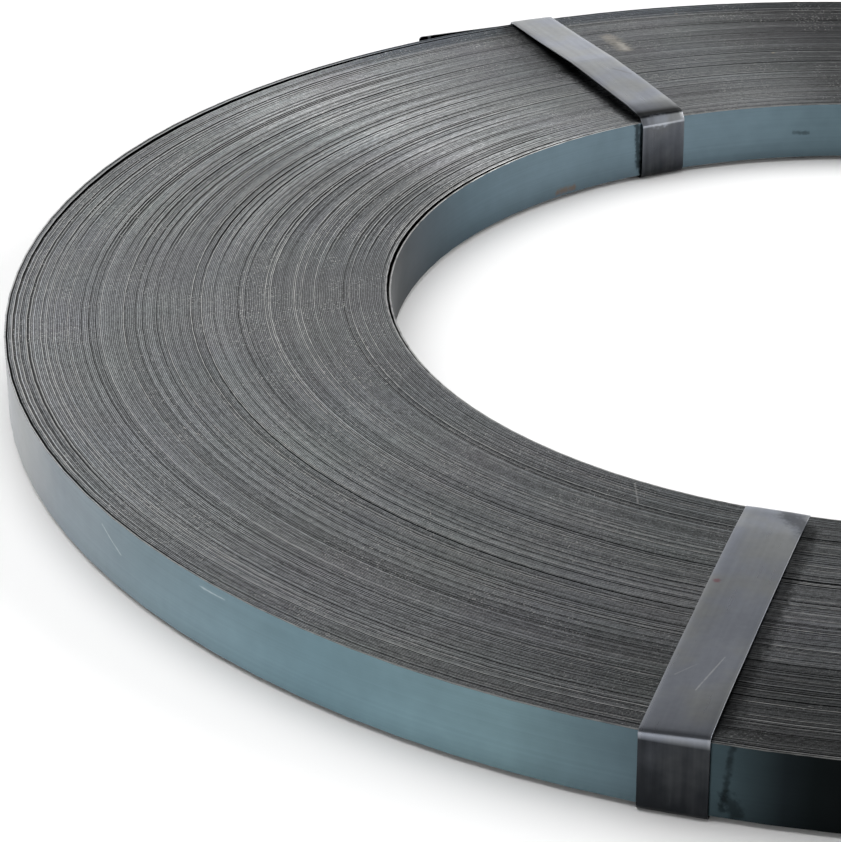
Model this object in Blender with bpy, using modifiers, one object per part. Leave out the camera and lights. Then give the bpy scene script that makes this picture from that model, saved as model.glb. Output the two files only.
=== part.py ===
"""Steel strapping coil: one ribbon-wound coil lying flat, bound by three narrow steel ties.

The coil is a turned ring with its bore. Its laps show on both ends as bands that
stand a little higher or lower than their neighbours, with a dark groove between them
where the winding ran slack. The outer end of the strap springs away from the coil.
Each tie is a band of thinner strap, closed round the coil's section, with its two
ends lapped under the coil, so the coil stands on the three laps.

Units are metres, +Z is up, and the origin lies on the floor at the coil's axis.
"""
import math

import bmesh
import bpy

# The strap that is wound into the coil
STRAP_WIDTH = 0.019
STRAP_THICKNESS = 0.0005
LAP_AIR = 0.000015
LAP_COUNT = 217
BORE_RADIUS = 0.1537

# How unevenly the laps were wound
LAPS_PER_BAND = 22
BAND_RELIEF = 0.0005
SLACK_LAPS = 2
GROOVE_DEPTH = 0.0012

# The loose outer end of the strap, as angles from +X seen from above
LOOSE_ROOT_ANGLE = math.radians(126.5)
LOOSE_TIP_ANGLE = math.radians(132.5)
LOOSE_SPRING = 0.0043
LOOSE_ROOT_DEPTH = 0.0004

# The ties
TIE_WIDTH = 0.016
TIE_THICKNESS = 0.0005
TIE_LAP = 0.040
TIE_BORE_STANDOFF = 0.0009
TIE_BEND_RADIUS = 0.0019
TIE_OUTER_BEND_RADIUS = 0.0008

# Gap kept between pieces that touch
CLEARANCE = 0.0003

# Each tie: name, angle from +X, turn from the radial line, lift at the bore edge, crown of its top run
TIES = (
    ("tie_front", math.radians(260.0), math.radians(2.1), 0.0006, 0.0006),
    ("tie_rear", math.radians(123.4), math.radians(-2.0), 0.0011, 0.0024),
    ("tie_right", math.radians(11.5), math.radians(0.8), 0.0008, 0.0012),
)

# Fineness of the round shapes
COIL_STEPS = 96
LOOSE_POINTS = 9
BEND_POINTS = 4
CROWN_POINTS = 9

LAP_PITCH = STRAP_THICKNESS + LAP_AIR
COIL_RADIUS = BORE_RADIUS + LAP_COUNT * LAP_PITCH
BAND_COUNT = max(round(LAP_COUNT / LAPS_PER_BAND), 1)
GROOVE_WIDTH = SLACK_LAPS * LAP_PITCH
TIE_LAP_HEIGHT = 2 * TIE_THICKNESS
COIL_BOTTOM = TIE_LAP_HEIGHT + CLEARANCE
COIL_TOP = COIL_BOTTOM + STRAP_WIDTH + BAND_RELIEF
TIE_MIDDLE = (BORE_RADIUS + COIL_RADIUS) / 2


def clear_scene():
    """Empty the scene, and make the collections for the parts and the cutters."""
    for item in list(bpy.data.objects):
        bpy.data.objects.remove(item, do_unlink=True)
    parts = bpy.data.collections.new("steel_strapping_coil")
    helpers = bpy.data.collections.new("helpers")
    bpy.context.scene.collection.children.link(parts)
    bpy.context.scene.collection.children.link(helpers)
    return parts, helpers


def steel(name, colour, roughness):
    """A bare or blued steel with the given linear base colour."""
    material = bpy.data.materials.new(name)
    material.use_nodes = True
    shader = material.node_tree.nodes["Principled BSDF"]
    shader.inputs["Base Color"].default_value = (*colour, 1.0)
    shader.inputs["Metallic"].default_value = 1.0
    shader.inputs["Roughness"].default_value = roughness
    return material


def band_radius(band):
    """Outer radius of a band of laps, counted from the outside of the coil."""
    return COIL_RADIUS - band / BAND_COUNT * (COIL_RADIUS - BORE_RADIUS)


def band_shift(band):
    """How far a band of laps stands above the lowest one."""
    return BAND_RELIEF * ((3 * band + 2) % 5) / 4


def coil_profile():
    """Radius and height of each corner of the coil's section, down the outer side first.

    Between two bands a V groove is cut into both ends, between the bands' own levels.
    """
    bottom = []
    top = []
    for band in range(BAND_COUNT):
        low = COIL_BOTTOM + band_shift(band)
        high = low + STRAP_WIDTH
        start = band_radius(band)
        end = band_radius(band + 1)
        if band > 0:
            start -= GROOVE_WIDTH / 2
            bottom.append((band_radius(band), COIL_BOTTOM + BAND_RELIEF + GROOVE_DEPTH))
            top.append((band_radius(band), COIL_BOTTOM + STRAP_WIDTH - GROOVE_DEPTH))
        if band < BAND_COUNT - 1:
            end += GROOVE_WIDTH / 2
        for radius in (start, end):
            bottom.append((radius, low))
            top.append((radius, high))
    return [top[0]] + bottom + top[:0:-1]


def turned_ring(name, profile, steps, collection):
    """Turn a closed profile about the Z axis."""
    mesh = bpy.data.meshes.new(name)
    count = len(profile)
    corners = [(radius, 0.0, height) for radius, height in profile]
    edges = [(index, (index + 1) % count) for index in range(count)]
    mesh.from_pydata(corners, edges, [])
    ring = bpy.data.objects.new(name, mesh)
    collection.objects.link(ring)
    screw = ring.modifiers.new("turn", "SCREW")
    screw.axis = "Z"
    screw.steps = steps
    screw.render_steps = steps
    screw.use_merge_vertices = True
    screw.merge_threshold = 0.00001
    screw.use_smooth_shade = True
    return ring


def outline_solid(name, outlines, depth, collection):
    """Fill flat outlines, the later ones being holes, and give them a depth both ways."""
    curve = bpy.data.curves.new(name, "CURVE")
    curve.dimensions = "2D"
    curve.fill_mode = "BOTH"
    curve.extrude = depth / 2
    for outline in outlines:
        spline = curve.splines.new("POLY")
        spline.points.add(len(outline) - 1)
        for point, (across, along) in zip(spline.points, outline):
            point.co = (across, along, 0.0, 1.0)
        spline.use_cyclic_u = True
    solid = bpy.data.objects.new(name, curve)
    collection.objects.link(solid)
    return solid


def as_mesh(source, collection):
    """Replace a curve object by its welded mesh, in the same place."""
    bpy.context.view_layer.update()
    graph = bpy.context.evaluated_depsgraph_get()
    mesh = bpy.data.meshes.new_from_object(source.evaluated_get(graph))
    work = bmesh.new()
    work.from_mesh(mesh)
    bmesh.ops.remove_doubles(work, verts=work.verts, dist=0.00001)
    work.to_mesh(mesh)
    work.free()
    name = source.name
    place = source.matrix_world.copy()
    bpy.data.objects.remove(source, do_unlink=True)
    solid = bpy.data.objects.new(name, mesh)
    solid.matrix_world = place
    collection.objects.link(solid)
    return solid


def loose_end_outline():
    """Outline, from above, of the strap's outer end as it springs away from the coil."""
    outer = []
    inner = []
    for step in range(LOOSE_POINTS):
        share = step / (LOOSE_POINTS - 1)
        angle = LOOSE_ROOT_ANGLE + share * (LOOSE_TIP_ANGLE - LOOSE_ROOT_ANGLE)
        radius = COIL_RADIUS - LOOSE_ROOT_DEPTH + share ** 2 * (LOOSE_SPRING + LOOSE_ROOT_DEPTH)
        for side, face in ((outer, radius), (inner, radius - STRAP_THICKNESS)):
            side.append((face * math.cos(angle), face * math.sin(angle)))
    return outer + inner[::-1]


def make_coil(parts, helpers):
    """The wound strap, with its loose outer end."""
    coil = turned_ring("strap_coil", coil_profile(), COIL_STEPS, parts)
    loose = outline_solid("loose_end", [loose_end_outline()], STRAP_WIDTH, helpers)
    loose.location.z = COIL_BOTTOM + band_shift(0) + STRAP_WIDTH / 2
    loose = as_mesh(loose, helpers)
    loose.hide_render = True
    loose.display_type = "WIRE"
    join = coil.modifiers.new("loose_end", "BOOLEAN")
    join.operation = "UNION"
    join.solver = "EXACT"
    join.object = loose
    coil.data.materials.append(steel("blued_strap", (0.10, 0.14, 0.16), 0.34))
    return coil


def bend(centre, radius, start):
    """Points of a quarter bend, running clockwise from the start angle."""
    points = []
    for step in range(BEND_POINTS):
        angle = start - step / (BEND_POINTS - 1) * math.pi / 2
        points.append((centre[0] + radius * math.cos(angle), centre[1] + radius * math.sin(angle)))
    return points


def tie_outline(offset, lift, crown):
    """One face of a tie round the coil's section, from the bore to the outer wall.

    The offset is measured outwards from the tie's inner face.
    """
    bore_wall = BORE_RADIUS - TIE_BORE_STANDOFF
    outer_wall = COIL_RADIUS + CLEARANCE
    floor = TIE_THICKNESS
    bore_top = COIL_TOP + CLEARANCE + lift
    outer_top = COIL_TOP + CLEARANCE
    wide = TIE_BEND_RADIUS
    tight = TIE_OUTER_BEND_RADIUS
    bore_bend = bend((bore_wall + wide, bore_top - wide), wide + offset, math.pi)
    outer_bend = bend((outer_wall - tight, outer_top - tight), tight + offset, math.pi / 2)
    first = bore_bend[-1]
    last = outer_bend[0]
    crown_run = []
    for step in range(1, CROWN_POINTS - 1):
        share = step / (CROWN_POINTS - 1)
        radius = first[0] + share * (last[0] - first[0])
        height = first[1] + share * (last[1] - first[1]) + 4 * crown * share * (1 - share)
        crown_run.append((radius, height))
    lower_outer = bend((outer_wall - tight, floor + tight), tight + offset, 0.0)
    lower_bore = bend((bore_wall + tight, floor + tight), tight + offset, -math.pi / 2)
    return bore_bend + crown_run + outer_bend + lower_outer + lower_bore


def lapped(outline):
    """Raise the middle of a tie's inner floor by the lap's second thickness."""
    ends = (TIE_MIDDLE + TIE_LAP / 2, TIE_MIDDLE - TIE_LAP / 2)
    step_up = [(ends[0], TIE_THICKNESS), (ends[0], TIE_LAP_HEIGHT)]
    step_down = [(ends[1], TIE_LAP_HEIGHT), (ends[1], TIE_THICKNESS)]
    after_outer_wall = len(outline) - BEND_POINTS
    return outline[:after_outer_wall] + step_up + step_down + outline[after_outer_wall:]


def make_tie(name, angle, turn, lift, crown, material, parts):
    """A tie, closed round the coil and turned a little off the radial line."""
    outer = tie_outline(TIE_THICKNESS, lift, crown)
    inner = lapped(tie_outline(0.0, lift, crown))
    outlines = [[(radius - TIE_MIDDLE, height) for radius, height in face] for face in (outer, inner)]
    tie = outline_solid(name, outlines, TIE_WIDTH, parts)
    tie.rotation_euler = (math.pi / 2, 0.0, angle + turn)
    tie.location = (TIE_MIDDLE * math.cos(angle), TIE_MIDDLE * math.sin(angle), 0.0)
    tie.data.materials.append(material)
    return tie


def main():
    """Build the coil and its ties."""
    parts, helpers = clear_scene()
    make_coil(parts, helpers)
    tie_steel = steel("bright_tie_strap", (0.36, 0.37, 0.39), 0.30)
    for name, angle, turn, lift, crown in TIES:
        make_tie(name, angle, turn, lift, crown, tie_steel, parts)


main()
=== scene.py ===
"""Looks of a steel strapping coil: the wound laps, the loose strap end, the ties and the studio.

Everything is in metres, +Z up, with the floor at zero and the coil's axis at the origin.
"""
import math

import bmesh
import bpy
from bpy.props import FloatProperty, FloatVectorProperty, IntProperty, PointerProperty
from mathutils import Matrix, Vector, noise


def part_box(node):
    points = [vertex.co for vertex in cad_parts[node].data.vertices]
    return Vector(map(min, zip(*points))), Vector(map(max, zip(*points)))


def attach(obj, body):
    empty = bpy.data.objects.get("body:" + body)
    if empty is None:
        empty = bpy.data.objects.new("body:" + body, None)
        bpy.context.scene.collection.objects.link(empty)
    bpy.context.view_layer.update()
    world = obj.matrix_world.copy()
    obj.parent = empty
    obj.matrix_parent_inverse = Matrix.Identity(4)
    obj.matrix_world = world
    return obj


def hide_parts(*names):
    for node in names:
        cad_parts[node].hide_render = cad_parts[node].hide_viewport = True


bl_info = {
    "name": "Steel strapping coil",
    "version": (1, 0, 0),
    "blender": (4, 5, 0),
    "location": "3D View > Sidebar > Strapping coil",
    "description": "Winds a coil of blued steel strapping and binds it with flat steel ties",
    "category": "Object",
}

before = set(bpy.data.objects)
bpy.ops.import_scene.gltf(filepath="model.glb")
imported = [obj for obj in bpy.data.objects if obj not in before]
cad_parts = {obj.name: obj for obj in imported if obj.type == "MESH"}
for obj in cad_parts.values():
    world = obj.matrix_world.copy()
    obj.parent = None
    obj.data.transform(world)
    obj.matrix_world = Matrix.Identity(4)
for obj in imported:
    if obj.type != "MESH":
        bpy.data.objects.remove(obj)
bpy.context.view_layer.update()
COIL_LOW, COIL_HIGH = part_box("strap_coil")
COIL_BOTTOM = COIL_LOW.z
COIL_RADIUS = COIL_HIGH.x
STRAP_WIDTH = 0.019
LAP_TOP = COIL_BOTTOM + STRAP_WIDTH

# Middle line of each tie over the laps, from its outer bend to its lower fold in the bore:
# distance outwards from the bore's wall, height above the laps, bend radius, how dark the tie is painted
# there as shade, and how far the edge at the larger angle is skewed outwards and tilted up
FRONT_RUN = (
    (0.1123, 0.00110, 0.0008, 0.45, 0.0, 0.0004), (0.1105, 0.00118, 0.0, 0.40, 0.0, 0.0004),
    (0.0960, 0.00120, 0.0, 0.33, 0.0, 0.0004), (0.0700, 0.00095, 0.0, 0.26, 0.0, 0.0002),
    (0.0400, 0.00090, 0.0, 0.25, 0.0, 0.0), (0.0120, 0.00082, 0.0, 0.02, 0.0, -0.0001),
    (-0.0006, 0.00045, 0.0019, 0.15, 0.0, -0.00015))
REAR_RUN = (
    (0.1123, 0.00065, 0.0008, 0.02, 0.0, 0.0), (0.0850, 0.00140, 0.0, 0.0, 0.0, 0.0),
    (0.0575, 0.00255, 0.012, 0.0, 0.0, 0.0), (0.0320, 0.00250, 0.0, 0.03, 0.0, 0.0),
    (0.0110, 0.00230, 0.0, 0.0, 0.0, 0.0), (0.0056, 0.00195, 0.0, 0.35, 0.0, 0.0),
    (0.0030, 0.00172, 0.0, 1.0, 0.0, 0.0), (0.0009, 0.00145, 0.0006, 0.9, -0.0003, 0.0),
    (0.0004, 0.0008, 0.0, 0.0, -0.0004, 0.0), (-0.0007, -0.0004, 0.0, 0.0, -0.0005, 0.0),
    (-0.0011, -0.00105, 0.0005, 0.1, -0.0006, 0.0), (-0.0011, -0.0018, 0.0, 0.80, -0.0006, 0.0))
RIGHT_RUN = (
    (0.1123, 0.00085, 0.0008, 0.2, 0.0, 0.0), (0.0560, 0.00180, 0.0, 0.05, 0.0, 0.0),
    (0.0110, 0.00130, 0.0, 0.05, 0.0, 0.0), (-0.0007, 0.00100, 0.0017, 0.3, 0.0, 0.0))

# Tie: CAD node, angle from +X, turn from the radial line, width, sideways bow, run over the laps,
# painted shade on its outer wall at the foot, and painted shade and skew at the foot of its wall in the
# bore
TIES = (
    ("tie_front", math.radians(260.0), math.radians(2.1), 0.0164, -0.0003, FRONT_RUN, 1.0, 0.8, 0.0),
    ("tie_rear", math.radians(123.4), math.radians(-2.0), 0.0160, 0.0, REAR_RUN, 0.6, 0.97, -0.0006),
    ("tie_right", math.radians(11.5), math.radians(0.8), 0.0160, 0.0002, RIGHT_RUN, 0.7, 0.7, 0.0),
)
FRONT_TIE_ANGLE = TIES[0][1]
REAR_TIE_ANGLE = TIES[1][1]
WOUND_PARTS = ("inner_laps", "middle_laps", "outer_laps")

# Fineness of the straps: longest step along a tie, angle of a step round its bends in radians, steps
# along the loose end, and columns across a tie and across the loose end
TIE_STEP = 0.0025
BEND_STEP = 0.22
LOOSE_STEPS = 40
TIE_COLUMNS, LOOSE_COLUMNS = 8, 6

# How far the edges of a tie and of the loose end are rolled over, and the radius of its cut corners
TIE_EDGE_ROUND = 0.00016
LOOSE_EDGE_ROUND = 0.00012
LOOSE_CORNER = 0.0011

# Camera: focal length in millimetres, and its heading, tilt and roll in degrees
CAMERA_LENS = 127.78
CAMERA_HEADING, CAMERA_TILT, CAMERA_ROLL = 10.145, -26.015, -0.420

# World light by height of view: white below the horizon and grey overhead
WORLD_GLOW = (
    (0.0, "#FFFFFF"), (0.28, "#FFFFFF"), (0.34, "#E4E4E4"), (0.40, "#C4C4C4"),
    (0.47, "#A2A2A2"), (0.54, "#868686"), (0.64, "#707070"), (1.0, "#6A6A6A"))


def linear(code):
    """Linear RGB from an sRGB hex colour."""
    channels = [int(code[start:start + 2], 16) / 255 for start in (1, 3, 5)]
    return [c / 12.92 if c <= 0.04045 else ((c + 0.055) / 1.055) ** 2.4 for c in channels]


def colour(code):
    """Linear RGBA from an sRGB hex colour."""
    return (*linear(code), 1.0)


def fill(node, inputs):
    """Give a node's inputs their values or links."""
    for key, value in inputs.items():
        if isinstance(value, Value):
            value.tree.links.new(value.socket, node.inputs[key])
        else:
            node.inputs[key].default_value = value


def add(tree, kind, inputs=None, **settings):
    """Add a node with its settings and its inputs' values or links, and return its first output."""
    node = tree.nodes.new(kind)
    for name, value in settings.items():
        setattr(node, name, value)
    fill(node, inputs or {})
    return Value(node.outputs[0]) if node.outputs else None


class Value:
    """What a node gives at one of its outputs, so that sums on it read as sums."""

    def __init__(self, socket):
        self.socket = socket
        self.tree = socket.id_data

    def __getitem__(self, output):
        """Another output of the same node."""
        return Value(self.socket.node.outputs[output])

    def maths(self, operation, *others):
        """A sum on numbers, or on each channel of a colour or a place."""
        kind = "ShaderNodeMath" if self.socket.type in ("VALUE", "INT") else "ShaderNodeVectorMath"
        return add(self.tree, kind, dict(enumerate((self, *others))), operation=operation)

    def __add__(self, other):
        return self.maths("ADD", other)

    def __sub__(self, other):
        return self.maths("SUBTRACT", other)

    def __rsub__(self, other):
        return add(self.tree, "ShaderNodeMath", {0: other, 1: self}, operation="SUBTRACT")

    def __mul__(self, other):
        return self.maths("MULTIPLY", other)

    def __truediv__(self, other):
        return self.maths("DIVIDE", other)

    def band(self, low, high, bottom=0.0, top=1.0):
        """A smooth ramp from bottom to top while this number goes from low to high."""
        return add(self.tree, "ShaderNodeMapRange", {0: self, 1: low, 2: high, 3: bottom, 4: top},
                   interpolation_type="SMOOTHSTEP")


class CoilSizes(bpy.types.PropertyGroup):
    """Sizes and colours of the wound strap."""

    bore_radius: FloatProperty(
        name="Bore radius", description="From the coil's axis to its first lap",
        default=0.1537, min=0.05, unit="LENGTH")
    strap_width: FloatProperty(
        name="Strap width", description="Width of the strap, which is the coil's height",
        default=STRAP_WIDTH, min=0.005, unit="LENGTH")
    strap_thickness: FloatProperty(
        name="Strap thickness", description="Thickness of the strap",
        default=0.0005, min=0.0002, unit="LENGTH")
    edge_round: FloatProperty(
        name="Edge rounding", description="How far the slit edge is rolled over",
        default=0.00008, min=0.0, unit="LENGTH")
    laps: IntProperty(
        name="Whole laps", description="Whole turns of strap in the coil",
        default=216, min=3)
    laps_per_band: FloatProperty(
        name="Laps per band", description="Turns between two slack laps",
        default=21.7, min=2.0)
    band_relief: FloatProperty(
        name="Band relief", description="How far bands of laps stand above each other",
        default=0.00012, unit="LENGTH")
    lap_relief: FloatProperty(
        name="Lap relief", description="How far single laps wander up and down",
        default=0.00007, unit="LENGTH")
    slack_depth: FloatProperty(
        name="Slack depth", description="How far a slack lap sinks between two bands",
        default=0.00012, unit="LENGTH")
    inner_end: FloatProperty(
        name="Inner end", description="Angle of the strap's inner end",
        default=math.radians(290.0), subtype="ANGLE")
    loose_root: FloatProperty(
        name="Loose root", description="Angle where the strap's outer end leaves the coil",
        default=math.radians(125.2), subtype="ANGLE")
    loose_tip: FloatProperty(
        name="Loose tip", description="Angle of the strap's loose outer end",
        default=math.radians(132.5), subtype="ANGLE")
    loose_spring: FloatProperty(
        name="Loose spring", description="How far the loose end springs away from the coil",
        default=0.0043, unit="LENGTH")
    slit: FloatVectorProperty(
        name="Slit edge", description="Colour of the strap's slit edges",
        subtype="COLOR", size=3, default=linear("#999C9E"), min=0.0, max=1.0)


class TieSizes(bpy.types.PropertyGroup):
    """Sizes and colours of the ties."""

    thickness: FloatProperty(
        name="Tie thickness", description="Thickness of the tie strap",
        default=0.0005, min=0.0002, unit="LENGTH")
    lap: FloatProperty(
        name="Tie lap", description="Length over which the tie's ends lie on each other",
        default=0.040, unit="LENGTH")
    cup: FloatProperty(
        name="Cup", description="How far the tie's edges curl down from its middle",
        default=0.00008, unit="LENGTH")
    bright: FloatVectorProperty(
        name="Tie steel", description="Colour of the bright tie steel",
        subtype="COLOR", size=3, default=linear("#B1B3B8"), min=0.0, max=1.0)
    # Colour where the tie is painted dark as shade
    film: FloatVectorProperty(
        name="Tie film", description="Colour of the dark film left on the tie steel",
        subtype="COLOR", size=3, default=linear("#25272A"), min=0.0, max=1.0)


class StudioSizes(bpy.types.PropertyGroup):
    """Camera, floor and lights."""

    camera_distance: FloatProperty(
        name="Camera distance", description="From the coil's axis to the camera, along the floor",
        default=0.8221, unit="LENGTH")
    camera_height: FloatProperty(
        name="Camera height", description="Of the camera above the coil's underside",
        default=0.3699, unit="LENGTH")
    floor: FloatVectorProperty(
        name="Floor", description="Colour of the floor",
        subtype="COLOR", size=3, default=linear("#FAFAFA"), min=0.0, max=1.0)
    top_light: FloatProperty(
        name="Top light", description="Strength of the soft light from above",
        default=2.5, min=0.0)
    side_light: FloatProperty(
        name="Side light", description="Power of the soft light from the rear right",
        default=10.0, min=0.0, subtype="POWER")


def clouds(vector, scale, detail, dimensions="3D"):
    """Soft noise about zero, roughly from minus a half to a half."""
    return add(vector.tree, "ShaderNodeTexNoise", {"Vector": vector, "Scale": scale, "Detail": detail},
               noise_dimensions=dimensions) - 0.5


def picked(lap, seed):
    """A random number for each lap, from minus a half to a half."""
    place = add(lap.tree, "ShaderNodeCombineXYZ", {0: lap, 1: seed})
    return add(lap.tree, "ShaderNodeTexWhiteNoise", {"Vector": place}, noise_dimensions="2D")["Value"] - 0.5


def lap_number(turn, start):
    """The lap a place is on, counted so that it changes where the strap passes under the front tie."""
    return (turn + (start - FRONT_TIE_ANGLE) / (2 * math.pi)).maths("FLOOR")


def ramp(value, stops):
    """A colour that goes through sRGB hex colours at the given places of a value."""
    shade = add(value.tree, "ShaderNodeValToRGB", {0: value})
    elements = shade.socket.node.color_ramp.elements
    elements[0].position, elements[1].position = stops[0][0], stops[-1][0]
    elements[0].color, elements[1].color = colour(stops[0][1]), colour(stops[-1][1])
    for place, code in stops[1:-1]:
        elements.new(place).color = colour(code)
    return shade


def by_angle(value, stops):
    """A ramp over a whole turn, with its stops in degrees."""
    return ramp(value, [((angle - stops[0][0]) / 360, code) for angle, code in stops])


def wound_tree(sizes, edge, face, bore):
    """Geometry Nodes tree that winds a stretch of strap, from a first turn on."""
    tree = bpy.data.node_groups.new("wound_strap", "GeometryNodeTree")
    tree.is_modifier = True
    sockets = tree.interface
    sockets.new_socket("Geometry", in_out="INPUT", socket_type="NodeSocketGeometry")
    for name, value in (
            ("First turn", 0.0),
            ("Turns", 1.0),
            ("All turns", 216.0),
            ("Points per turn", 112),
            ("Bore radius", sizes.bore_radius),
            ("Lap pitch", sizes.strap_thickness),
            ("Strap width", sizes.strap_width),
            ("Strap thickness", sizes.strap_thickness),
            ("Edge rounding", sizes.edge_round),
            ("Underside", COIL_BOTTOM),
            ("Start angle", sizes.inner_end),
            ("Laps per band", sizes.laps_per_band),
            ("Band relief", sizes.band_relief),
            ("Lap relief", sizes.lap_relief),
            ("Slack depth", sizes.slack_depth)):
        kind = "NodeSocketInt" if isinstance(value, int) else "NodeSocketFloat"
        sockets.new_socket(name, in_out="INPUT", socket_type=kind).default_value = value
    sockets.new_socket("Geometry", in_out="OUTPUT", socket_type="NodeSocketGeometry")
    given = add(tree, "NodeGroupInput")

    def noise_of(value, scale, offset):
        """Soft noise along the turns, from 0 to 1."""
        return add(tree, "ShaderNodeTexNoise", {"W": value * scale + offset, "Scale": 1.0, "Detail": 0.0},
                   noise_dimensions="1D")

    def lobe(value, start, end):
        """A smooth hump from 0 to 1 and back, between two values."""
        share = add(tree, "ShaderNodeMapRange", {0: value, 1: start, 2: end, 3: 0.0, 4: math.pi})
        wave = share.maths("SINE")
        return wave * wave

    def stored(name):
        """What the middle line carries under a name."""
        return add(tree, "GeometryNodeInputNamedAttribute", {"Name": name}, data_type="FLOAT")

    # Where each point of the strap's middle line lies, counted in turns from the bore
    count = (given["Turns"] * given["Points per turn"]).maths("CEIL") + 1.0
    line = add(tree, "GeometryNodeCurvePrimitiveLine", {"End": (1.0, 0.0, 0.0)})
    line = add(tree, "GeometryNodeResampleCurve", {"Curve": line, "Count": count}, mode="COUNT")
    share = add(tree, "GeometryNodeInputIndex") / (count - 1.0)
    turn = share * given["Turns"] + given["First turn"]
    left = given["All turns"] - turn

    # Radius: the first lap sags off the bore in two places, the last one bows off the coil, and the
    # last four spring off it together
    start = given["Strap thickness"] * 0.5 + given["Bore radius"]
    radius = turn * given["Lap pitch"] + start
    radius += lobe(turn, 0.50, 0.83) * -0.0011
    radius += lobe(turn, 0.86, 1.0) * -0.0004
    radius += lobe(left, 0.63, 0.87) * 0.0005
    radius += lobe(left.maths("FRACT"), 0.79, 1.04) * left.band(4.1, 4.4, 1.0, 0.0) * 0.0011

    # Length of strap wound so far, for the patterns that run along it
    arc = turn * (radius + start) * math.pi

    # Each lap has its own numbers
    lap = lap_number(turn, given["Start angle"])

    # Height: bands at their own level, a slack lap between two bands, and each lap's own wander
    bands = left / given["Laps per band"]
    level = (bands.maths("FLOOR") * 3.0 + 2.0).maths("MODULO", 5.0) * 0.25 * given["Band relief"]
    within = bands.maths("FRACT")
    near = within.maths("MINIMUM", 1.0 - within) * given["Laps per band"]
    uneven = noise_of(turn, 2.618, 41.3).band(0.48, 0.62)
    slack = near.band(0.42, 0.58, 1.0, 0.0) * left.band(2.0, 3.0) * uneven * given["Slack depth"]
    wander = picked(lap, 1.0) + (noise_of(turn, 1.618, 3.2) - 0.5)
    wander += (noise_of(turn, 0.8, 17.4) * 0.6 + picked(lap, 2.0)).band(0.64, 0.70, 0.0, -1.0)
    wander += (noise_of(turn, 0.7, 71.1) * 0.6 + picked(lap, 3.0)).band(0.64, 0.70)

    # The laps lie flattest behind, and are most uneven on the left
    angle = turn * (2 * math.pi) + given["Start angle"]
    loose = (angle - math.radians(165.0)).maths("COSINE").band(0.80, 0.97, 0.0, 0.38)
    loose += angle.maths("SINE").band(0.60, 0.85, 1.0, 0.6)
    shoulder = turn.band(0.0, 4.0, -0.00018, 0.0)
    rise = wander * loose * given["Lap relief"] + level - slack + shoulder
    under = slack * 0.6 + level

    # The strap's path, and its section swept along it
    middle = given["Strap width"] * 0.5 + given["Underside"]
    place = add(tree, "ShaderNodeCombineXYZ",
                {0: angle.maths("COSINE") * radius, 1: angle.maths("SINE") * radius, 2: middle})
    for name, value in (("turn", turn), ("arc", arc), ("rise", rise), ("under", under), ("core", radius)):
        line = add(tree, "GeometryNodeStoreNamedAttribute",
                   {"Geometry": line, "Name": name, "Value": value}, data_type="FLOAT", domain="POINT")
    line = add(tree, "GeometryNodeSetPosition", {"Geometry": line, "Position": place})
    line = add(tree, "GeometryNodeSetCurveNormal", {"Curve": line}, mode="Z_UP")
    section = add(tree, "GeometryNodeCurvePrimitiveQuadrilateral",
                  {"Width": given["Strap thickness"], "Height": given["Strap width"]}, mode="RECTANGLE")
    section = add(tree, "GeometryNodeFilletCurve",
                  {"Curve": section, "Radius": given["Edge rounding"], "Count": 1}, mode="POLY")
    strap = add(tree, "GeometryNodeCurveToMesh",
                {"Curve": line, "Profile Curve": section, "Fill Caps": True})

    # Each edge of the strap goes to its own height
    here = add(tree, "GeometryNodeInputPosition")
    is_top = add(tree, "ShaderNodeSeparateXYZ", {0: here})[2].maths("GREATER_THAN", middle)
    lift = add(tree, "GeometryNodeSwitch", {0: is_top, 1: stored("under"), 2: stored("rise")},
               input_type="FLOAT")
    offset = add(tree, "ShaderNodeCombineXYZ", {2: lift})
    strap = add(tree, "GeometryNodeSetPosition", {"Geometry": strap, "Offset": offset})

    # How far each corner of the section lies from the lap's middle
    across = (here * (1.0, 1.0, 0.0)).maths("LENGTH")["Value"] - stored("core")
    strap = add(tree, "GeometryNodeStoreNamedAttribute",
                {"Geometry": strap, "Name": "across", "Value": across}, data_type="FLOAT", domain="POINT")

    # Smooth along the lap, with creases where the edge turns into the face
    bent = add(tree, "GeometryNodeInputMeshEdgeAngle")["Unsigned Angle"].maths("GREATER_THAN", 0.35)
    strap = add(tree, "GeometryNodeSetShadeSmooth", {"Geometry": strap, "Shade Smooth": True})
    strap = add(tree, "GeometryNodeSetShadeSmooth",
                {"Geometry": strap, "Selection": bent, "Shade Smooth": False}, domain="EDGE")

    # The first lap's inside shows in the bore, and what faces up or down is a slit edge
    upright = add(tree, "ShaderNodeSeparateXYZ", {0: add(tree, "GeometryNodeInputNormal")})[2]
    is_edge = upright.maths("ABSOLUTE").maths("GREATER_THAN", 0.3)
    in_bore = stored("turn").maths("MAXIMUM", upright * 2.0).maths("LESS_THAN", 1.0)
    strap = add(tree, "GeometryNodeRealizeInstances", {"Geometry": strap})
    for material, chosen in ((face, True), (bore, in_bore), (edge, is_edge)):
        strap = add(tree, "GeometryNodeSetMaterial",
                    {"Geometry": strap, "Selection": chosen, "Material": material})
    add(tree, "NodeGroupOutput", {"Geometry": strap})
    return tree


def placed(name, data):
    """A new object with the given data, in the scene."""
    thing = bpy.data.objects.new(name, data)
    bpy.context.scene.collection.objects.link(thing)
    return thing


def finished_mesh(source, name):
    """The evaluated shape of an object as a new plain object at the origin; the source is removed."""
    bpy.context.view_layer.update()
    graph = bpy.context.evaluated_depsgraph_get()
    mesh = bpy.data.meshes.new_from_object(source.evaluated_get(graph))
    mesh.name = name
    bpy.data.objects.remove(source, do_unlink=True)
    return placed(name, mesh)


def settle(piece, slot, *nodes):
    """Fasten a finished piece to the object's one body, and let it stand for its CAD nodes."""
    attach(piece, "root")
    if nodes:
        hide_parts(*nodes)


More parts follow.
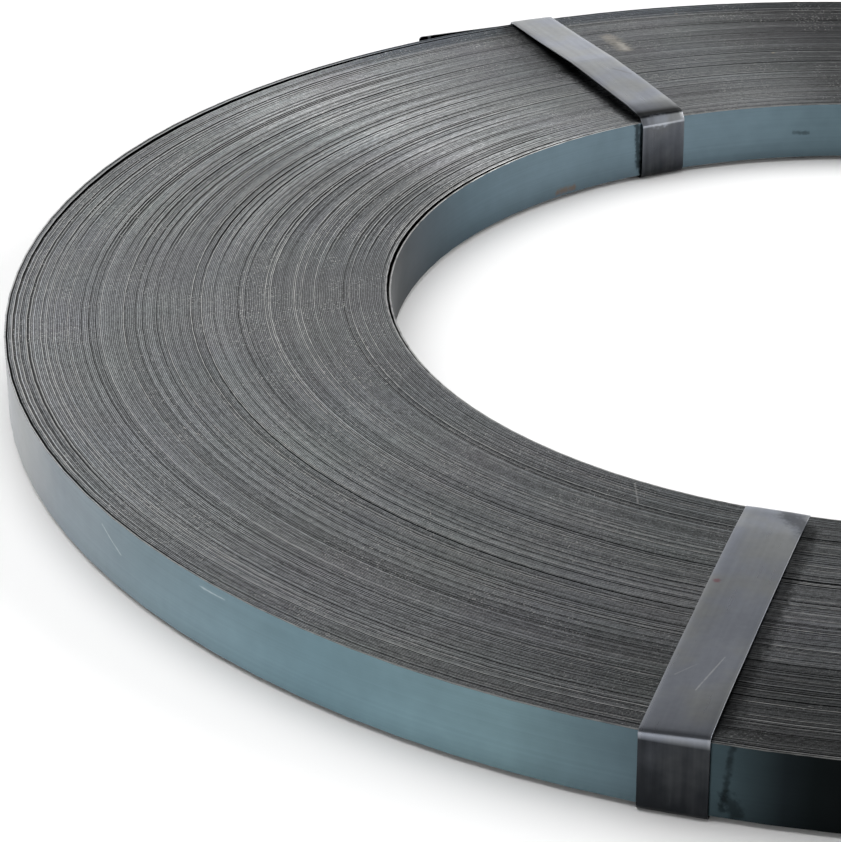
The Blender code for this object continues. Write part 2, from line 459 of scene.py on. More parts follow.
def new_material(name):
    """An empty node material, with its tree and its Principled shader's node."""
    material = bpy.data.materials.new(name)
    material.use_nodes = True
    shader = material.node_tree.nodes["Principled BSDF"]
    return material, material.node_tree, shader


# Blued film on the strap's outside wall, by angle, with painted reflection and shade in it: pale on the
# left, darkest in front right, with painted shade beside the front tie
OUTER_FILM_AND_SHADE = (
    (90, "#63767E"), (124, "#3A464B"), (142, "#3A464B"), (182, "#A5A8AB"), (203, "#A4A8AC"),
    (208, "#9CA0A1"), (212, "#8D949A"), (216, "#84919A"), (221, "#8797A0"), (226, "#7E929B"),
    (240, "#75909A"), (252, "#738C93"), (258, "#5A6C74"), (261, "#3D4B50"), (263.7, "#364348"),
    (264.6, "#273033"), (265.6, "#1B2124"), (266.6, "#111617"), (269, "#0F1112"), (278, "#0F1112"),
    (300, "#3A464B"), (340, "#63767E"), (450, "#63767E"))

# The same on the wall of the bore, which shows from the rear to the left; its dark stretch on the left is
# painted shade
BORE_FILM_AND_SHADE = (
    (-90, "#586A72"), (60, "#586A72"), (95, "#506168"), (119, "#60717A"), (147, "#61727B"),
    (157, "#576871"), (164, "#4E5C64"), (172, "#454F56"), (181, "#30363A"), (195, "#2A2F32"),
    (210, "#4C5B62"), (270, "#586A72"))

# Painted sheen and shade on the slit edges, by angle: brightest at the rear left and in front on the left
EDGE_SHEEN_AND_SHADE = (
    (90, "#6A6A6A"), (100, "#8D8D8D"), (112, "#D5D5D5"), (124, "#C7C7C7"), (132, "#CECECE"),
    (140, "#E1E1E1"), (147, "#F3F3F3"), (151, "#F3F3F3"), (157, "#CBCBCB"), (163, "#B9B9B9"),
    (176, "#B8B8B8"), (190, "#C4C4C4"), (222, "#E6E6E6"), (240, "#DADADA"), (256, "#C6C6C6"),
    (270, "#B6B6B6"), (300, "#B0B0B0"), (450, "#6A6A6A"))

# Colours of the marks
PAINTED_SHADE = "#16181A"
OIL_STAIN = "#101314"
DRY_SMEAR = "#E6DFD2"
DRY_CHIP = "#D8CBB4"
EDGE_SCRATCH = "#E4E4E4"
FILM_SCRATCH = "#DCE4E8"
TIE_SCRATCH = "#E8E8EA"

# Marks: start and end of a line, reach on both sides of it, strength and colour
EDGE_MARKS = (
    ((-0.0519, 0.1598, 0.0200), (-0.0480, 0.1640, 0.0200), 0.0160, 0.20, "#D8DADB"),
    # Painted shade beside the rear tie, on the laps it shades
    ((-0.1519, 0.2166, 0.0200), (-0.1240, 0.1708, 0.0200), 0.0050, 0.88, PAINTED_SHADE),
    ((-0.1500, 0.2060, 0.0200), (-0.1260, 0.1690, 0.0200), 0.0110, 0.40, PAINTED_SHADE),
    ((-0.1240, 0.1708, 0.0200), (-0.0959, 0.1249, 0.0200), 0.0032, 0.85, PAINTED_SHADE),
    ((-0.1144, 0.2094, 0.0200), (-0.1068, 0.1971, 0.0200), 0.0034, 0.60, DRY_SMEAR),
    ((-0.1095, 0.2030, 0.0200), (-0.1065, 0.1967, 0.0200), 0.0015, 0.90, "#F2EEE6"),
    # Painted shade beside the front tie, on the laps it shades
    ((-0.0208, -0.1609, 0.0200), (-0.0341, -0.2543, 0.0200), 0.0034, 0.74, PAINTED_SHADE),
    ((-0.0542, 0.2009, 0.0200), (-0.0540, 0.2012, 0.0200), 0.0008, 0.90, DRY_CHIP),
    ((-0.0926, 0.2395, 0.0200), (-0.0924, 0.2396, 0.0200), 0.0007, 0.80, DRY_CHIP),
    ((-0.0660, -0.1419, 0.0203), (-0.0641, -0.1522, 0.0203), 0.0003, 0.60, EDGE_SCRATCH),
    ((-0.1753, 0.0854, 0.0203), (-0.1733, 0.1285, 0.0203), 0.0003, 0.30, "#D0D4D4"),
    ((-0.1422, -0.1094, 0.0200), (-0.1364, -0.1153, 0.0200), 0.0003, 0.60, EDGE_SCRATCH),
    ((-0.1837, -0.1303, 0.0200), (-0.1790, -0.1310, 0.0200), 0.0003, 0.50, EDGE_SCRATCH),
)
FACE_MARKS = (
    ((-0.0942, 0.1214, 0.0202), (-0.0936, 0.1219, 0.0050), 0.0012, 0.80, "#1A1F21"),
    ((-0.0311, -0.2637, 0.0207), (-0.0331, -0.2634, 0.0034), 0.0010, 0.65, OIL_STAIN),
    ((-0.0320, -0.2636, 0.0065), (-0.0300, -0.2638, 0.0030), 0.0022, 0.60, OIL_STAIN),
    ((-0.1976, -0.1773, 0.0160), (-0.1910, -0.1844, 0.0115), 0.0003, 0.35, FILM_SCRATCH),
    ((-0.1647, -0.2082, 0.0181), (-0.1571, -0.2140, 0.0181), 0.0003, 0.35, FILM_SCRATCH),
    ((-0.1787, 0.2006, 0.0205), (-0.1787, 0.2006, 0.0150), 0.0006, 0.80, FILM_SCRATCH),
    ((-0.1180, 0.0985, 0.0032), (-0.1131, 0.1041, 0.0032), 0.0012, 0.55, "#7A5B3C"),
    ((-0.1379, 0.0679, 0.0171), (-0.1348, 0.0738, 0.0150), 0.0003, 0.35, FILM_SCRATCH),
    ((-0.0429, 0.1476, 0.0103), (-0.0382, 0.1489, 0.0101), 0.0008, 0.55, "#1C2224"),
)
TIE_MARKS = (
    # Painted highlight on the facet between the rear tie's two folds at the bore
    ((-0.0883, 0.1256, 0.0201), (-0.0858, 0.1273, 0.0203), 0.0022, 0.55, "#C3CAD6"),
    ((-0.1078, 0.1676, 0.0229), (-0.1010, 0.1634, 0.0229), 0.0007, 0.35, "#77716D"),
    ((-0.0410, -0.1914, 0.0212), (-0.0408, -0.1911, 0.0212), 0.0011, 0.60, "#95505A"),
    ((-0.0412, -0.2432, 0.0217), (-0.0359, -0.2275, 0.0216), 0.00022, 0.45, TIE_SCRATCH),
    ((-0.0465, -0.2364, 0.0214), (-0.0413, -0.2308, 0.0213), 0.00026, 0.22, TIE_SCRATCH),
    ((-0.0257, -0.1536, 0.0210), (-0.0199, -0.1634, 0.0210), 0.0034, 0.62, "#33373E"),
)


def marked(base, where, marks):
    """A colour with marks on it, each one ragged round the line between two places."""
    tree = where.tree
    ragged = clouds(where, 700.0, 3.0) * 1.6
    for start, end, reach, strength, code in marks:
        run = Vector(end) - Vector(start)
        away = where - start
        share = away.maths("DOT_PRODUCT", run / run.length_squared)["Value"]
        share = add(tree, "ShaderNodeClamp", {0: share})
        nearest = add(tree, "ShaderNodeVectorMath", {0: run, "Scale": share}, operation="SCALE")
        distance = away.maths("DISTANCE", nearest)["Value"] * (1.0 / reach) + ragged
        strength = distance.band(0.2, 1.3, strength, 0.0)
        base = add(tree, "ShaderNodeMix", {0: strength, 6: base, 7: colour(code)}, data_type="RGBA")[2]
    return base


def lap_places(tree):
    """What the strap's materials read, as values.

    Place, its three parts, radius, angle in turns from the rear, and from the winding the turn, the
    length along the strap and the distance from the lap's middle.
    """
    where = add(tree, "ShaderNodeTexCoord")["Object"]
    spot = add(tree, "ShaderNodeSeparateXYZ", {0: where})
    radius = (where * (1.0, 1.0, 0.0)).maths("LENGTH")["Value"]
    behind = spot[0].maths("ARCTAN2", spot[1] * -1.0) * (0.5 / math.pi) + 0.5
    turn, arc, across = [add(tree, "ShaderNodeAttribute", attribute_name=name)["Fac"]
                         for name in ("turn", "arc", "across")]
    return where, spot, radius, behind, turn, arc, across


def blued_face_material(sizes, name, grazing):
    """Blued cold-rolled strap: a smooth, thin oxide film over polished steel.

    The film gives the eye a soft grey-blue, cloudy at arm's length, with fine rolling lines. The
    grazing value dims what it mirrors at a flat angle.
    """
    material, tree, shader = new_material(name)
    where, spot, radius, behind, turn, arc, across = lap_places(tree)

    # Each wall's film, painted reflection and shade by angle, starting from the side of it that is hidden
    nearest = (spot[0] * -1.0).maths("ARCTAN2", spot[1]) * (0.5 / math.pi) + 0.5
    outer = by_angle(behind, OUTER_FILM_AND_SHADE)
    bore = by_angle(nearest, BORE_FILM_AND_SHADE)
    is_outer = radius.maths("GREATER_THAN", 0.2)
    film = add(tree, "ShaderNodeMix", {0: is_outer, 6: bore, 7: outer}, data_type="RGBA")[2]

    # Clouds in the film, and the fine lines of the rolls along the strap
    lengthwise = add(tree, "ShaderNodeCombineXYZ", {0: arc * 9.0, 1: spot[2] * 1400.0})
    tone = clouds(where, 32.0, 2.0) * 0.35 + clouds(where, 210.0, 3.0) * 0.20
    tone += clouds(lengthwise, 1.0, 1.0, "2D") * 0.16 + 1.1

    # Painted shade: the outer wall darkens towards its top, and both walls darken at the foot
    foot = spot[2].band(0.002, 0.012, 0.90, 1.0)
    upward_shade = spot[2].band(0.001, 0.018, 0.975, 0.752) - foot
    tone *= is_outer * upward_shade + foot

    # Painted shade between the laps: only the first lap's inside and the last lap's outside keep their
    # colour, and the faces between the laps are painted nearly black
    first = turn.maths("LESS_THAN", 1.0) * across.maths("LESS_THAN", 0.0)
    last = turn.maths("GREATER_THAN", total_turns(sizes) - 1.0) * across.maths("GREATER_THAN", -0.0001)
    gap_face_shade = first.maths("MAXIMUM", last) * 0.95 + 0.05
    fill(shader, {
        "Metallic": 1.0,
        "Specular Tint": (grazing, grazing, grazing, 1.0),
        "Base Color": marked(film * (tone * gap_face_shade), where, FACE_MARKS),
        "Roughness": clouds(where, 60.0, 3.0) * 0.15 + 0.33,
    })
    return material


def slit_edge_material(sizes):
    """Slit edge of cold-rolled strap: part burnished by the knives, part torn, and oily.

    It gives the eye a dark satin grey with brighter laps, broken bright lines and tiny burrs. The
    burrs are drawn a little coarser than real ones, which are too fine to show.
    """
    material, tree, shader = new_material("slit_strap_edge")
    last = total_turns(sizes)
    where, spot, radius, behind, turn, arc, across = lap_places(tree)

    def along_laps(per_metre, per_turn, detail):
        """Noise drawn out along the strap, and different on each lap."""
        vector = add(tree, "ShaderNodeCombineXYZ", {0: arc * per_metre + 0.5, 1: turn * per_turn})
        return clouds(vector, 1.0, detail, "2D")

    # Each lap has its own numbers
    lap = lap_number(turn, sizes.inner_end)

    # The laps lie loosest at the rear left, and the outer ones all along the left
    radial = (where * (1.0, 1.0, 0.0)).maths("NORMALIZE")
    side = radial.maths("DOT_PRODUCT", (-0.866, 0.5, 0.0))["Value"]
    outer_laps = turn.band(last - 22.0, last - 10.0) * side.band(0.2, 0.5)
    loose = side.band(0.80, 0.93).maths("MAXIMUM", outer_laps) * behind.band(0.105, 0.150)
    rear = spot[1].band(0.09, 0.14) * (1.0 - loose)

    # Tone of whole laps, of stretches of a lap, and of the torn edge at millimetre scale
    tone = picked(lap, 1.0) * (loose * 0.8 + spot[1].band(-0.12, -0.02, 0.75, 0.25))
    tone += along_laps(3.0, 3.382, 0.0) * 0.25
    tone += along_laps(500.0, 13.618, 1.0) * 0.8
    tone += clouds(where, 2600.0, 1.0) * (1.35 - loose * 0.7)
    tone *= rear * spot[0].band(-0.12, -0.04, -0.3, -0.1) + 1.0
    tone += 1.0

    # Soft streaks several laps wide, behind and on the right, and clouds in the oil
    tone += along_laps(0.12, 0.10, 3.0) * (spot[0].band(-0.12, 0.0) * 0.90 + rear * 0.9 + 0.10)
    tone += clouds(where, 14.0, 2.0) * 0.12
    tone = tone.maths("MAXIMUM", 0.15)

    # Painted shade: each lap darkens to a ragged line where it falls away beside its neighbours, and is
    # lighter in its middle
    beside = along_laps(400.0, 7.618, 1.0) * 0.00012 + across.maths("ABSOLUTE")
    tone *= beside.band(0.00009, 0.00021, 1.45 - rear * 0.20, rear * 0.20 + 0.32 - loose * 0.20)

    # Here and there the gap beyond a lap is painted dark as painted shade, and where the laps lie loose
    # this painted shade falls on the next one
    stretch = along_laps(0.8, 5.3, 0.0) * 0.6 + loose * 0.22

    def open_gap(ahead):
        """How far the gap beyond a lap is open, this lap's or that of one some laps ahead."""
        other = (lap + (ahead + 2.0)).maths("MODULO", 2.0)
        value = stretch + other + picked(lap + ahead, 2.0)
        return value.band(1.30, 1.52) * (turn + ahead).band(last - 5.0, last - 4.0, 1.0, 0.0)

    gap_before = open_gap(-1.0) * loose
    painted_gap_shade = open_gap(0.0) * (loose * 0.00020 + across).band(-0.00004, 0.00006)
    painted_gap_shade = painted_gap_shade.maths("MAXIMUM", gap_before * across.band(-0.00016, -0.00008, 1.0, 0.0))
    painted_gap_shade *= 1.0 - rear * 0.7
    tone *= 1.0 - painted_gap_shade * 0.94

    # Painted sheen and shade by angle, painted shade on the outer laps of the right side, and the laps made
    # lighter or darker in a few places
    painted_sheen = by_angle(behind, EDGE_SHEEN_AND_SHADE)
    outer_right_shade = radius.band(0.212, 0.245) * spot[0].band(-0.115, -0.01)
    inner_left = radius.band(0.178, 0.205, 1.0, 0.0)
    inner_left *= (spot[1] + 0.02).maths("ABSOLUTE").band(0.06, 0.10, 1.0, 0.0)
    near_bore = radius.band(0.158, 0.182, 1.0, 0.0) * spot[1].band(-0.12, 0.12, -0.1, 0.15)
    inner_front = radius.band(0.232, 0.252, 1.0, 0.0) * spot[1].band(-0.10, -0.05, 1.0, 0.0)
    outer_left = radius.band(0.218, 0.242) * side.band(0.4, 0.7)
    tone *= 1.6 - outer_right_shade * 0.9
    tone *= 1.0 - inner_left * 0.18
    tone *= near_bore + 1.0
    tone *= 1.0 - inner_front * 0.13
    tone *= outer_left * 0.13 + 1.0
    tone *= loose * 0.25 + 1.0
    tint = add(tree, "ShaderNodeTexNoise", {"Vector": where, "Scale": 26.0, "Detail": 3.0})["Color"]
    tint = tint * (0.10, 0.10, 0.10) + (0.95, 0.95, 0.95)
    base = tint * (*sizes.slit,) * painted_sheen * tone

    # The outermost laps, which lie free beside the rear tie, are darker and bluer there
    outermost = turn.band(last - 19.0, last - 15.0) * spot[0].band(-0.225, -0.185)
    outermost *= spot[1].band(0.02, 0.08)
    base = add(tree, "ShaderNodeMix", {0: outermost, 6: base, 7: base * (0.55, 0.60, 0.66)},
               data_type="RGBA")[2]

    # Burnished hairs along a lap, and the corners that catch the light beside an open gap
    hairs = along_laps(0.6, 6.1, 0.0) * 0.6 + picked(lap, 3.0) + loose * 0.18
    hairs = hairs.band(0.36, 0.50) * beside.band(0.00006, 0.00013, 1.0, 0.0)
    hairs = hairs.maths("MAXIMUM", gap_before * across.band(-0.00010, -0.00004, 0.0, 0.8))
    hairs = hairs.maths("MAXIMUM", open_gap(1.0) * across.band(0.0, 0.00005, 0.0, 0.35) * loose)
    broken = along_laps(220.0, 11.618, 1.0).band(-0.25, 0.05, 0.35, 1.0)
    hairs *= (1.0 - painted_gap_shade) * broken

    # Burrs that catch the light, in clusters, and a painted highlight on the rims of the first laps at the
    # bore and of the last lap
    clusters = clouds(where, 60.0, 2.0).band(-0.05, 0.08) * side.band(-0.5, 0.2, 0.25, 1.0)
    burrs = clouds(where, 1900.0, 0.0).band(0.208, 0.25) * clusters
    burrs *= beside.band(0.00015, 0.00022, 1.0, 0.0)
    rim_highlights = turn.band(1.75, 1.85, 0.55, 0.0).maths("MAXIMUM", turn.band(last - 1.0, last - 0.9, 0.0, 0.35))
    shine = (hairs * 0.85).maths("MAXIMUM", burrs).maths("MAXIMUM", rim_highlights * broken)
    base = add(tree, "ShaderNodeMix", {0: shine, 6: base, 7: colour("#F6F6F4")}, data_type="RGBA")[2]

    # The grooves between the laps spread the light across the laps, not along them
    fill(shader, {
        "Metallic": 1.0,
        "Anisotropic": 0.5,
        "Tangent": radial,
        "Base Color": marked(base, where, EDGE_MARKS),
        "Roughness": along_laps(60.0, 7.618, 2.0) * 0.25 + 0.42,
    })
    return material


def tie_material(sizes):
    """Bright cold-rolled tie strap, satin from the rolls, with lengthwise lines and light scratches.

    Where its "film" attribute is high it is painted blue-black as painted shade, on its walls below the
    bends and in places along its runs.
    """
    material, tree, shader = new_material("bright_cold_rolled_tie")
    sources = add(tree, "ShaderNodeTexCoord")
    where = sources["Object"]
    flat = add(tree, "ShaderNodeSeparateXYZ", {0: sources["UV"]})
    # How dark the tie is painted here as shade
    film = add(tree, "ShaderNodeAttribute", attribute_name="film")["Fac"]

    def along_tie(per_metre, across):
        """Noise drawn out along the tie."""
        vector = add(tree, "ShaderNodeCombineXYZ", {0: flat[0] * per_metre, 1: flat[1] * across})
        return clouds(vector, 1.0, 2.0, "2D")

    # Roll lines and clouds, on steel that shows here a little olive and there a little blue
    tone = along_tie(18.0, 900.0) * 0.12 + along_tie(45.0, 260.0) * 0.14
    tone += clouds(where, 55.0, 3.0) * 0.20 + clouds(where, 500.0, 2.0) * 0.18 + 1.0
    blue = clouds(where, 60.0, 3.0).band(-0.12, 0.12)
    tint = add(tree, "ShaderNodeMix", {0: blue, 6: (1.0, 1.01, 0.97, 1.0), 7: (0.95, 0.99, 1.07, 1.0)},
               data_type="RGBA")[2]
    bright = tint * (*sizes.bright,) * tone
    # The painted shade colour, mixed in by the film attribute with ragged edges
    dark = add(tree, "ShaderNodeVectorMath", {0: (*sizes.film,), 1: tone}, operation="MULTIPLY")
    broken = clouds(where, 120.0, 3.0) * 0.12 + along_tie(30.0, 500.0) * 0.06 + film
    base = add(tree, "ShaderNodeMix", {0: broken, 6: bright, 7: dark}, data_type="RGBA")[2]

    # The cut edges are rubbed bright
    rub = flat[1].maths("ABSOLUTE").band(0.0072, 0.0078) * (0.35 - film * 0.35)
    base = add(tree, "ShaderNodeMix", {0: rub, 6: base, 7: (*sizes.bright, 1.0)}, data_type="RGBA")[2]
    fill(shader, {
        "Metallic": 1.0,
        "Base Color": marked(base, where, TIE_MARKS),
        "Roughness": along_tie(30.0, 600.0) * 0.12 + 0.30,
    })
    return material


def total_turns(sizes):
    """Turns of strap from its inner end to the rear tie, where the loose end takes over."""
    part = (REAR_TIE_ANGLE - sizes.inner_end) % (2 * math.pi)
    return sizes.laps + part / (2 * math.pi)


def lap_pitch(sizes):
    """Distance from one lap to the next, so that the laps fill the coil from bore to outside."""
    return (COIL_RADIUS - sizes.bore_radius - sizes.strap_thickness) / total_turns(sizes)


def rounded_run(corners, longest):
    """Points of a bent strap's middle line from its corners, rounded by their bend radii.

    A corner is across, height, bend radius, and values that go over to the points. No two
    points stand further apart than the longest step.
    """
    points = []
    for index, (across, height, radius, *values) in enumerate(corners):
        here = Vector((across, height))
        if radius == 0.0 or index in (0, len(corners) - 1):
            points.append((here, values))
            continue
        before = (Vector(corners[index - 1][:2]) - here).normalized()
        after = (Vector(corners[index + 1][:2]) - here).normalized()
        half = before.angle(after) / 2
        centre = here + (before + after).normalized() * (radius / math.sin(half))
        start = here + before * (radius / math.tan(half)) - centre
        end = here + after * (radius / math.tan(half)) - centre
        sweep = math.copysign(math.pi - 2 * half, start.cross(end))
        steps = max(2, math.ceil(abs(sweep) / BEND_STEP))
        for step in range(steps + 1):
            spot = start.copy()
            spot.rotate(Matrix.Rotation(sweep * step / steps, 2))
            points.append((centre + spot, values))
    run = [points[0]]
    for (start, first), (end, last) in zip(points, points[1:]):
        steps = max(1, math.ceil((end - start).length / longest))
        for step in range(1, steps + 1):
            share = step / steps
            blend = [a + (b - a) * share for a, b in zip(first, last)]
            run.append((start.lerp(end, share), blend))
    return run


def strap_section(width, thickness, rounding, columns):
    """Corners of a flat strap's section, with rounded edges: across the width and through it."""
    half = width / 2 - rounding
    deep = thickness / 2 - rounding
    corners = []
    for side, level, start in (
            (half, deep, 90), (half, -deep, 0), (-half, -deep, -90), (-half, deep, -180)):
        for turn in (0, 30, 60, 90):
            angle = math.radians(start - turn)
            corners.append((side + rounding * math.cos(angle), level + rounding * math.sin(angle)))
    across = [-half + 2 * half * column / columns for column in range(1, columns)]
    top = [(value, thickness / 2) for value in across]
    bottom = [(value, -thickness / 2) for value in reversed(across)]
    return top + corners[:8] + bottom + corners[8:]


def swept_strap(name, rings, uvs, values):
    """A closed strip from rings of points, with a UV map and a float attribute for each value name.

    The values are one for each ring, or a list for its points.
    """
    work = bmesh.new()
    rows = [[work.verts.new(point) for point in ring] for ring in rings]
    layer = work.loops.layers.uv.new("UVMap")
    places = {}
    for row, row_uvs in zip(rows, uvs):
        for vertex, uv in zip(row, row_uvs):
            places[vertex] = uv
    count = len(rows[0])
    for row, after in zip(rows, rows[1:]):
        for index in range(count):
            following = (index + 1) % count
            face = work.faces.new((row[index], row[following], after[following], after[index]))
            face.smooth = True
    work.faces.new(rows[0][::-1])
    work.faces.new(rows[-1])
    bmesh.ops.recalc_face_normals(work, faces=work.faces)
    for face in work.faces:
        for loop in face.loops:
            loop[layer].uv = places[loop.vert]
    mesh = bpy.data.meshes.new(name)
    work.to_mesh(mesh)
    work.free()
    for key, rows_of_values in values.items():
        stored = mesh.attributes.new(key, "FLOAT", "POINT")
        flat = []
        for row in rows_of_values:
            flat += row if isinstance(row, list) else [row] * count
        stored.data.foreach_set("value", flat)
    mesh.set_sharp_from_angle(angle=math.radians(50))
    return placed(name, mesh)


def tie_piece(name, angle, turn, width, bow, run, outer_shade, bore_shade, bore_skew, sizes, bore_radius):
    """A tie closed round the coil's section, its two ends lapped under the coil."""
    thick = sizes.thickness
    middle = (COIL_RADIUS - bore_radius) / 2
    inner_end = middle - sizes.lap / 2
    outer_end = middle + sizes.lap / 2
    wall = run[0][0]
    bore_wall = run[-1][0]
    over = [(across, LAP_TOP + height, *rest) for across, height, *rest in run]
    # Each corner: across, height, bend radius, how dark the tie is painted as shade, skew and tilt
    corners = [
        (inner_end, 1.5 * thick, 0.0, 0.6, 0.0, 0.0),
        (outer_end, 1.5 * thick, 0.003, 0.6, 0.0, 0.0),
        (outer_end + 0.004, 0.5 * thick, 0.003, 0.6, 0.0, 0.0),
        (wall, 0.5 * thick, 0.0020, outer_shade, 0.0, 0.0),
        (wall, LAP_TOP - 0.0015, 0.0, outer_shade * 0.97, 0.0, 0.0),
        *over,
        (bore_wall, 0.5 * thick, 0.0030, bore_shade, bore_skew, 0.0),
        (outer_end - 0.0004, 0.5 * thick, 0.0, 0.6, 0.0, 0.0),
    ]
    path = rounded_run(corners, TIE_STEP)
    along = Vector((math.cos(angle + turn), math.sin(angle + turn), 0.0))
    side = Vector((-math.sin(angle + turn), math.cos(angle + turn), 0.0))
    centre = Vector((math.cos(angle), math.sin(angle), 0.0)) * (bore_radius + middle)
    section = strap_section(width, thick, TIE_EDGE_ROUND, TIE_COLUMNS)
    rings, uvs, tie_shades = [], [], []
    length = 0.0
    for index, (spot, (film, skew, tilt)) in enumerate(path):
        before = path[max(index - 1, 0)][0]
        after = path[min(index + 1, len(path) - 1)][0]
        length += (spot - before).length
        tangent = (after - before).normalized()
        outwards = along * tangent.y - Vector((0.0, 0.0, tangent.x))
        share = min(max(spot.x / (2 * middle), 0.0), 1.0)
        sideways = bow * 4 * share * (1 - share)
        ring, ring_uvs = [], []
        for across, through in section:
            reach = across / (width / 2)
            point = centre + along * (spot.x - middle + skew * reach) + side * (across + sideways)
            point.z = spot.y + tilt * reach
            free = 1.0 if spot.y > 0.003 else 0.0
            wave = noise.noise(point * 45.0) * 0.00010 - sizes.cup * reach ** 2
            ring.append(point + outwards * (through + wave * free))
            ring_uvs.append((length, across))
        rings.append(ring)
        uvs.append(ring_uvs)
        tie_shades.append(film)
    return swept_strap(name, rings, uvs, {"film": tie_shades})


def loose_end_piece(sizes, name):
    """The strap's outer end, which springs away from the coil beyond the rear tie."""
    turns = total_turns(sizes)
    pitch = lap_pitch(sizes)
    middle = COIL_BOTTOM + sizes.strap_width / 2 + 0.5 * sizes.band_relief
    section = strap_section(sizes.strap_width, sizes.strap_thickness, LOOSE_EDGE_ROUND, LOOSE_COLUMNS)
    rings, uvs, turn_values, arcs = [], [], [], []
    length = (sizes.loose_tip - REAR_TIE_ANGLE) * COIL_RADIUS
    for step in range(LOOSE_STEPS + 1):
        share = 1 - (1 - step / LOOSE_STEPS) ** 1.6
        angle = REAR_TIE_ANGLE + (sizes.loose_tip - REAR_TIE_ANGLE) * share
        turned = turns + (angle - REAR_TIE_ANGLE) / (2 * math.pi)
        sprung = max(angle - sizes.loose_root, 0.0) / (sizes.loose_tip - sizes.loose_root)
        radius = COIL_RADIUS - sizes.strap_thickness / 2 + sizes.loose_spring * sprung ** 1.3
        slope = 1.3 * sizes.loose_spring * sprung ** 0.3 / (sizes.loose_tip - sizes.loose_root)
        lean = -math.atan(slope / radius)
        outwards = Vector((math.cos(angle + lean), math.sin(angle + lean), 0.0))
        from_tip = length * (1 - share)
        short = max(LOOSE_CORNER - from_tip, 0.0)
        trim = LOOSE_CORNER - math.sqrt(LOOSE_CORNER ** 2 - short ** 2)
        centre = Vector((radius * math.cos(angle), radius * math.sin(angle), middle))
        ring, ring_uvs = [], []
        for across, through in section:
            level = across * (1 - 2 * trim / sizes.strap_width)
            ring.append(centre + Vector((0.0, 0.0, level)) + outwards * through)
            ring_uvs.append((length * share, level))
        rings.append(ring)
        uvs.append(ring_uvs)
        turn_values.append(turned)
        arcs.append(math.pi * turned * (2 * sizes.bore_radius + pitch * turned))
    return swept_strap(name, rings, uvs, {
        "turn": turn_values, "arc": arcs, "across": [[through for _, through in section]] * len(rings)})


class STRAPCOIL_OT_wound_strap(bpy.types.Operator):
    """Wind the strap into its coil, and spring its outer end away from it"""

    bl_idname = "strapcoil.wound_strap"
    bl_label = "Wound strap"

    def execute(self, context):
        sizes = context.scene.strap_coil
        face = blued_face_material(sizes, "blued_cold_rolled_face", 1.0)
        bore = blued_face_material(sizes, "blued_cold_rolled_bore_face", 0.7)
        edge = slit_edge_material(sizes)
        tree = wound_tree(sizes, edge, face, bore)
        sockets = {item.name: item.identifier for item in tree.interface.items_tree
                   if item.item_type == "SOCKET" and item.in_out == "INPUT"}
        turns = total_turns(sizes)
        for part, name in enumerate(WOUND_PARTS):
            holder = placed(name + "_holder", bpy.data.meshes.new(name + "_holder"))
            winding = holder.modifiers.new("winding", "NODES")
            winding.node_group = tree
            winding[sockets["First turn"]] = turns * part / len(WOUND_PARTS)
            winding[sockets["Turns"]] = turns / len(WOUND_PARTS)
            winding[sockets["All turns"]] = turns
            winding[sockets["Lap pitch"]] = lap_pitch(sizes)
            piece = finished_mesh(holder, name)
            settle(piece, "blued_strap", "strap_coil")
        loose = loose_end_piece(sizes, "loose_end")
        loose.data.materials.append(face)
        loose.data.materials.append(edge)
        for polygon in loose.data.polygons:
            polygon.material_index = 1 if abs(polygon.normal.z) > 0.3 else 0
        settle(loose, "blued_strap", "strap_coil")
        return {"FINISHED"}


class STRAPCOIL_OT_ties(bpy.types.Operator):
    """Close the flat ties round the coil"""

    bl_idname = "strapcoil.ties"
    bl_label = "Ties"

    def execute(self, context):
        sizes = context.scene.strap_ties
        steel = tie_material(sizes)
        for name, *shape in TIES:
            piece = tie_piece(name + "_strap", *shape, sizes, context.scene.strap_coil.bore_radius)
            piece.data.materials.append(steel)
            settle(piece, "tie_strap", name)
        return {"FINISHED"}


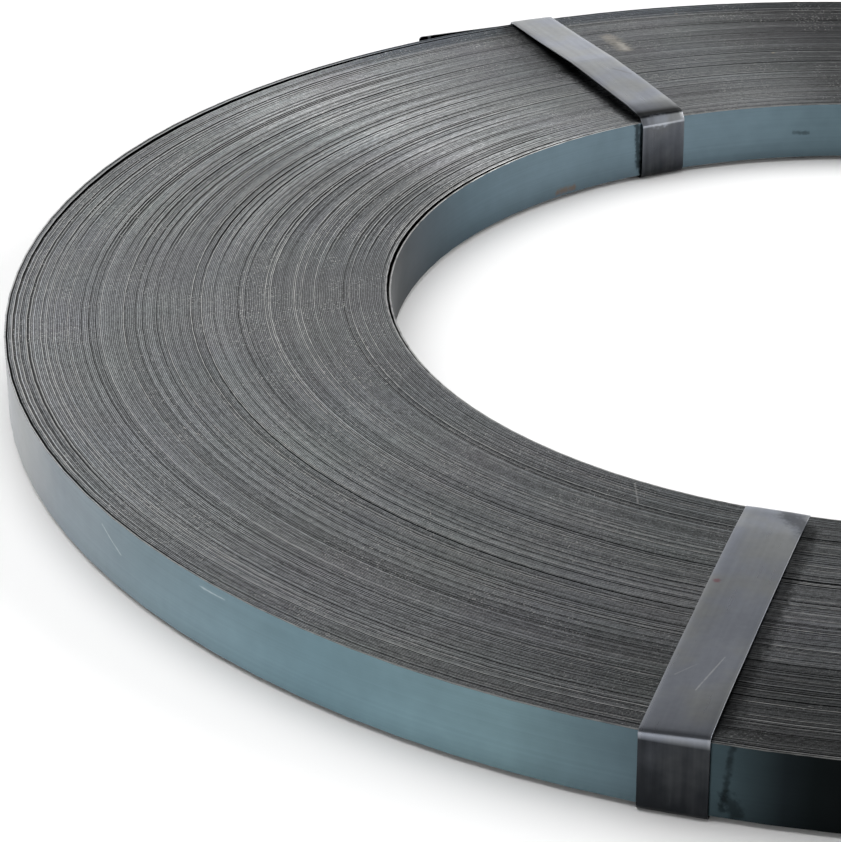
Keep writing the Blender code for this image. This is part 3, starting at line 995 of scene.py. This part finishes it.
class STRAPCOIL_OT_stage(bpy.types.Operator):
    """Set the floor, the lights, the world and the camera"""

    bl_idname = "strapcoil.stage"
    bl_label = "Stage"

    def execute(self, context):
        sizes = context.scene.strap_studio
        scene = context.scene

        floor_mesh = bpy.data.meshes.new("floor")
        work = bmesh.new()
        bmesh.ops.create_grid(work, x_segments=1, y_segments=1, size=8.0)
        work.to_mesh(floor_mesh)
        work.free()
        floor = placed("floor", floor_mesh)
        material, tree, shader = new_material("floor_paper")
        fill(shader, {"Base Color": (*sizes.floor, 1.0), "Roughness": 0.9, "Specular IOR Level": 0.0})
        floor_mesh.materials.append(material)

        sun = bpy.data.lights.new("top_light", "SUN")
        sun.energy = sizes.top_light
        sun.angle = math.radians(70.0)
        lamp = placed("top_light", sun)
        lamp.rotation_euler = (math.radians(-12.0), math.radians(-14.0), 0.0)
        lamp.visible_glossy = False

        soft = bpy.data.lights.new("side_light", "AREA")
        soft.energy = sizes.side_light
        soft.shape = "RECTANGLE"
        soft.size = 1.2
        soft.size_y = 0.5
        side = placed("side_light", soft)
        azimuth = math.radians(30.0)
        height = math.radians(38.0)
        reach = 1.8
        side.location = (reach * math.cos(height) * math.cos(azimuth),
                         reach * math.cos(height) * math.sin(azimuth),
                         reach * math.sin(height))
        side.rotation_euler = (-side.location).to_track_quat("-Z", "Y").to_euler()

        world = bpy.data.worlds.new("studio")
        world.use_nodes = True
        scene.world = world
        tree = world.node_tree
        tree.nodes.clear()
        up = add(tree, "ShaderNodeSeparateXYZ", {0: add(tree, "ShaderNodeTexCoord")["Generated"]})[2]
        soft_glow = add(tree, "ShaderNodeBackground", {"Color": ramp(up, WORLD_GLOW), "Strength": 1.0})
        add(tree, "ShaderNodeOutputWorld", {"Surface": soft_glow})

        lens = bpy.data.cameras.new("camera")
        lens.sensor_fit = "AUTO"
        lens.sensor_width = 36.0
        lens.lens = CAMERA_LENS
        lens.clip_end = 50.0
        camera = placed("camera", lens)
        turn = Matrix.Identity(4)
        for degrees, axis in ((CAMERA_HEADING, "Z"), (90.0, "X"), (CAMERA_TILT, "X"), (CAMERA_ROLL, "Z")):
            turn = turn @ Matrix.Rotation(math.radians(degrees), 4, axis)
        place = Vector((0.0, -sizes.camera_distance, sizes.camera_height + COIL_BOTTOM))
        camera.matrix_world = Matrix.Translation(place) @ turn
        scene.camera = camera
        scene.view_settings.view_transform = "Standard"
        return {"FINISHED"}


class STRAPCOIL_PT_panel(bpy.types.Panel):
    """Sizes and colours of the coil, with a button for each piece"""

    bl_label = "Strapping coil"
    bl_idname = "STRAPCOIL_PT_panel"
    bl_space_type = "VIEW_3D"
    bl_region_type = "UI"
    bl_category = "Strapping coil"

    def draw(self, context):
        for group in ("strap_coil", "strap_ties", "strap_studio"):
            sizes = getattr(context.scene, group)
            box = self.layout.box()
            for name in sizes.bl_rna.properties.keys():
                if name not in ("rna_type", "name"):
                    box.prop(sizes, name)
        for operator in OPERATORS:
            self.layout.operator(operator.bl_idname)


OPERATORS = (STRAPCOIL_OT_wound_strap, STRAPCOIL_OT_ties, STRAPCOIL_OT_stage)
CLASSES = (CoilSizes, TieSizes, StudioSizes, *OPERATORS, STRAPCOIL_PT_panel)


def register():
    """Register the sizes, operators and panel."""
    for item in CLASSES:
        bpy.utils.register_class(item)
    bpy.types.Scene.strap_coil = PointerProperty(type=CoilSizes)
    bpy.types.Scene.strap_ties = PointerProperty(type=TieSizes)
    bpy.types.Scene.strap_studio = PointerProperty(type=StudioSizes)


def unregister():
    """Take the sizes, operators and panel out again."""
    del bpy.types.Scene.strap_studio
    del bpy.types.Scene.strap_ties
    del bpy.types.Scene.strap_coil
    for item in reversed(CLASSES):
        bpy.utils.unregister_class(item)


def main():
    """Register the add-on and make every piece."""
    register()
    bpy.ops.strapcoil.wound_strap()
    bpy.ops.strapcoil.ties()
    bpy.ops.strapcoil.stage()


if __name__ == "__main__":
    main()
